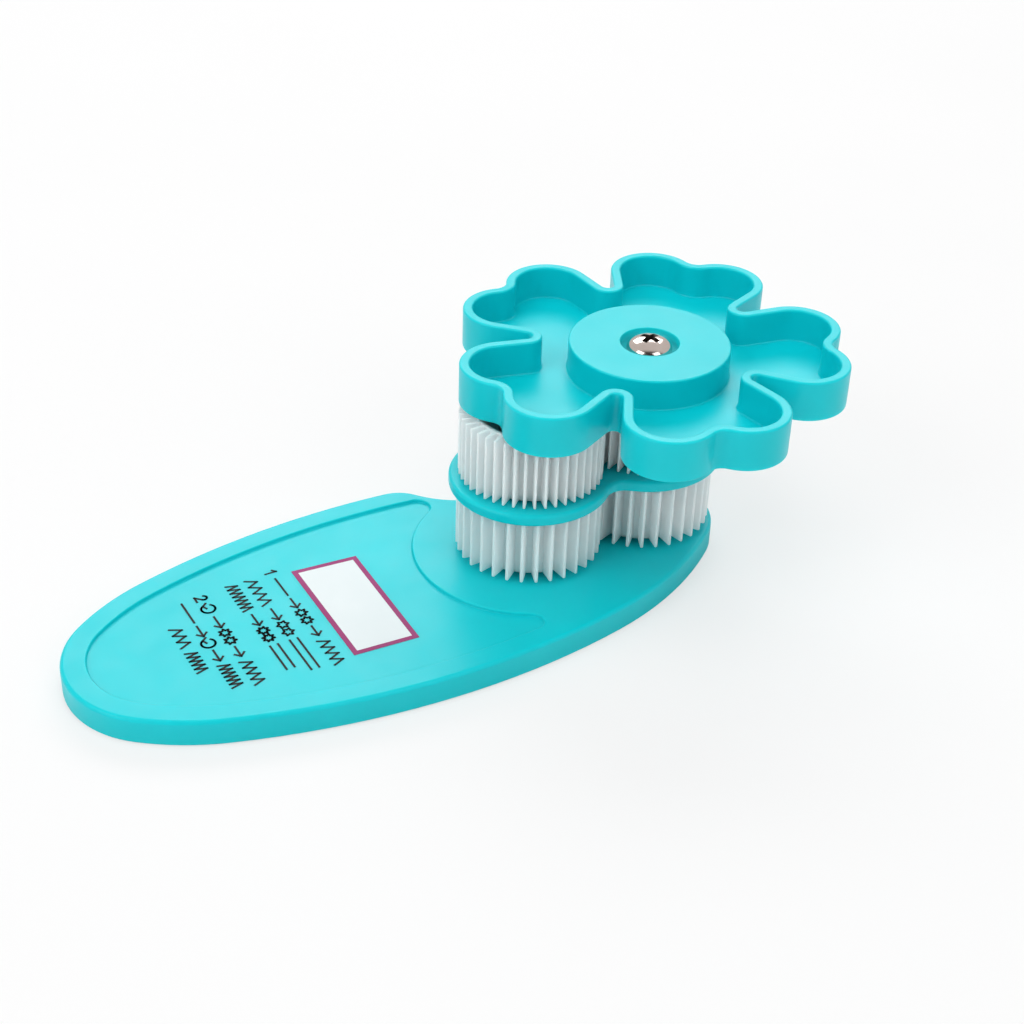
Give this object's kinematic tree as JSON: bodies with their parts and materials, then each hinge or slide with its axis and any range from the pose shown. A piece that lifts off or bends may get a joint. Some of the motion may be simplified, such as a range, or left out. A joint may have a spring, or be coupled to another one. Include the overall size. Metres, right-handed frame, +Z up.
{
  "type": "hand cranked paper crimper",
  "caption": "Hand paper crimper: oval base with two stacked pairs of toothed rollers, turned by a flower shaped knob.",
  "frame": {"origin": "middle of the plan bounding box, on the table under the foot pads", "axes": "+X from the label end of the base to the knob end, +Y to the side with the bay, +Z up along the roller axles"},
  "size_m": [0.1212, 0.059, 0.0352],
  "materials": {
    "teal_plastic": "satin moulded plastic",
    "white_nylon": "satin moulded nylon",
    "bearing_nylon": "natural nylon",
    "axle_steel": "turned steel",
    "screw_nickel": "polished nickel plate",
    "foot_rubber": "matt rubber"
  },
  "bodies": {
    "base": {"base_moulding": "teal_plastic", "foot_pad_1": "foot_rubber", "foot_pad_2": "foot_rubber", "foot_pad_3": "foot_rubber", "foot_pad_4": "foot_rubber", "foot_pad_5": "foot_rubber", "foot_pad_6": "foot_rubber", "idler_axle": "axle_steel", "separator_plate": "teal_plastic", "idler_sleeve": "axle_steel", "idler_washer": "axle_steel", "idler_screw": "screw_nickel", "idler_thrust_washer": "bearing_nylon", "drive_thrust_washer": "bearing_nylon", "drive_bush": "bearing_nylon"},
    "knob_drive": {"drive_shaft": "axle_steel", "drive_clip": "axle_steel", "lower_drive_roller": "white_nylon", "upper_drive_roller": "white_nylon", "flower_knob": "teal_plastic", "knob_screw": "screw_nickel"},
    "lower_idler": {"lower_idler_roller": "white_nylon"},
    "upper_idler": {"upper_idler_roller": "white_nylon"}
  },
  "joints": [
    {"name": "knob_turn", "type": "hinge", "parent": "base", "child": "knob_drive", "pos_m": [0.03181, 0.00017, 0], "axis": [0, 0, 1], "continuous": true},
    {"name": "lower_idler_turn", "type": "hinge", "parent": "base", "child": "lower_idler", "pos_m": [0.01201, 0.00017, 0], "axis": [0, 0, 1], "continuous": true},
    {"name": "upper_idler_turn", "type": "hinge", "parent": "base", "child": "upper_idler", "pos_m": [0.01201, 0.00017, 0], "axis": [0, 0, 1], "continuous": true}
  ],
  "couplings": [
    {"joint": "lower_idler_turn", "follows": "knob_turn", "ratio": -1},
    {"joint": "upper_idler_turn", "follows": "knob_turn", "ratio": -1}
  ]
}
